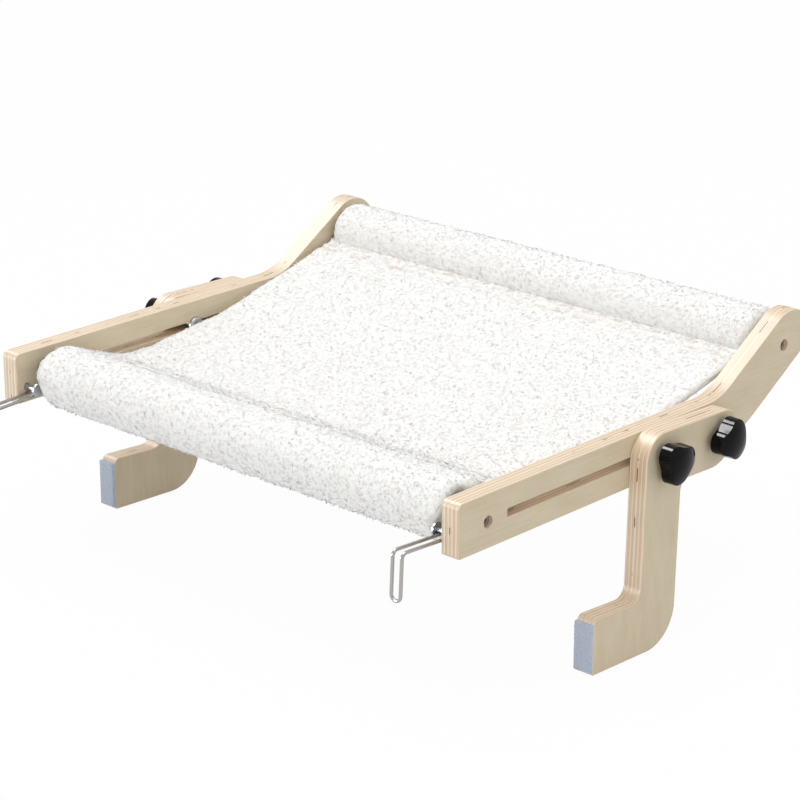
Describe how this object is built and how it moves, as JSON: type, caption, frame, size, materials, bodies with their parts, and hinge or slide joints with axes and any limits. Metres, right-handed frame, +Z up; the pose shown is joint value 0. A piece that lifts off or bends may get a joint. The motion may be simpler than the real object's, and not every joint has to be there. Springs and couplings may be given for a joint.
{
  "type": "window mounted cat perch",
  "caption": "Cat perch for a window sill: plywood arms with a hanging fleece sling, sliding clamped legs with felt pads, and swinging wire hooks.",
  "frame": {"origin": "midway between the arms, at their front ends, on the plane of the undersides that rest on the sill", "axes": "+X along the crossbars, +Y from the window side to the raised room side, +Z up"},
  "size_m": [0.5134, 0.4211, 0.2045],
  "materials": {
    "birch_plywood": "clear satin lacquer",
    "bar_steel": "drawn tube",
    "zinc_steel": "zinc plated",
    "hook_chrome": "bright plated",
    "insert_brass": "turned",
    "felt": "pressed wool felt",
    "fleece": "curly sherpa pile",
    "knob_plastic": "moulded gloss"
  },
  "bodies": {
    "frame": {"front_crossbar": "bar_steel", "rear_crossbar": "bar_steel", "sling": "fleece", "right_arm": "birch_plywood", "right_front_bar_plug": "zinc_steel", "right_rear_bar_plug": "zinc_steel", "right_front_bar_screw": "zinc_steel", "right_rear_bar_screw": "zinc_steel", "right_hook_pin": "hook_chrome", "right_pin_sleeve": "insert_brass", "left_arm": "birch_plywood", "left_front_bar_plug": "zinc_steel", "left_rear_bar_plug": "zinc_steel", "left_front_bar_screw": "zinc_steel", "left_rear_bar_screw": "zinc_steel", "left_hook_pin": "hook_chrome", "left_pin_sleeve": "insert_brass"},
    "right_leg_set": {"right_leg": "birch_plywood", "right_felt_pad": "felt", "right_front_clamp_bolt": "zinc_steel", "right_front_washer": "zinc_steel", "right_rear_clamp_bolt": "zinc_steel", "right_rear_washer": "zinc_steel"},
    "right_hook_set": {"right_hook": "hook_chrome"},
    "right_front_nut": {"right_front_knob_insert": "insert_brass"},
    "right_front_grip": {"right_front_knob": "knob_plastic"},
    "right_rear_nut": {"right_rear_knob_insert": "insert_brass"},
    "right_rear_grip": {"right_rear_knob": "knob_plastic"},
    "left_leg_set": {"left_leg": "birch_plywood", "left_felt_pad": "felt", "left_front_clamp_bolt": "zinc_steel", "left_front_washer": "zinc_steel", "left_rear_clamp_bolt": "zinc_steel", "left_rear_washer": "zinc_steel"},
    "left_hook_set": {"left_hook": "hook_chrome"},
    "left_front_nut": {"left_front_knob_insert": "insert_brass"},
    "left_front_grip": {"left_front_knob": "knob_plastic"},
    "left_rear_nut": {"left_rear_knob_insert": "insert_brass"},
    "left_rear_grip": {"left_rear_knob": "knob_plastic"}
  },
  "joints": [
    {"name": "right_leg_slide", "type": "slide", "parent": "frame", "child": "right_leg_set", "axis": [0, 1, 0], "range_m": [-0.145, 0.006]},
    {"name": "right_hook_swing", "type": "hinge", "parent": "frame", "child": "right_hook_set", "pos_m": [0.20435, 0.0286, 0.01855], "axis": [1, 0, 0], "range_deg": [0, 95]},
    {"name": "right_front_knob_travel", "type": "slide", "parent": "right_leg_set", "child": "right_front_nut", "axis": [1, 0, 0], "range_m": [0, 0.002]},
    {"name": "right_front_knob_turn", "type": "hinge", "parent": "right_front_nut", "child": "right_front_grip", "pos_m": [0.2465, 0.1958, 0.01925], "axis": [1, 0, 0], "range_deg": [0, 720.5]},
    {"name": "right_rear_knob_travel", "type": "slide", "parent": "right_leg_set", "child": "right_rear_nut", "axis": [1, 0, 0], "range_m": [0, 0.002]},
    {"name": "right_rear_knob_turn", "type": "hinge", "parent": "right_rear_nut", "child": "right_rear_grip", "pos_m": [0.2465, 0.2558, 0.01925], "axis": [1, 0, 0], "range_deg": [0, 720.5]},
    {"name": "left_leg_slide", "type": "slide", "parent": "frame", "child": "left_leg_set", "axis": [0, 1, 0], "range_m": [-0.1288, 0.0222]},
    {"name": "left_hook_swing", "type": "hinge", "parent": "frame", "child": "left_hook_set", "pos_m": [-0.20435, 0.0286, 0.01855], "axis": [1, 0, 0], "range_deg": [-5, 90]},
    {"name": "left_front_knob_travel", "type": "slide", "parent": "left_leg_set", "child": "left_front_nut", "axis": [-1, 0, 0], "range_m": [0, 0.002]},
    {"name": "left_front_knob_turn", "type": "hinge", "parent": "left_front_nut", "child": "left_front_grip", "pos_m": [-0.2465, 0.1796, 0.01925], "axis": [-1, 0, 0], "range_deg": [0, 720.5]},
    {"name": "left_rear_knob_travel", "type": "slide", "parent": "left_leg_set", "child": "left_rear_nut", "axis": [-1, 0, 0], "range_m": [0, 0.002]},
    {"name": "left_rear_knob_turn", "type": "hinge", "parent": "left_rear_nut", "child": "left_rear_grip", "pos_m": [-0.2465, 0.2396, 0.01925], "axis": [-1, 0, 0], "range_deg": [0, 720.5]}
  ],
  "couplings": [
    {"joint": "right_front_knob_turn", "follows": "right_front_knob_travel", "rad_per_m": 6283.2},
    {"joint": "right_rear_knob_turn", "follows": "right_rear_knob_travel", "rad_per_m": 6283.2},
    {"joint": "left_front_knob_turn", "follows": "left_front_knob_travel", "rad_per_m": 6283.2},
    {"joint": "left_rear_knob_turn", "follows": "left_rear_knob_travel", "rad_per_m": 6283.2}
  ]
}
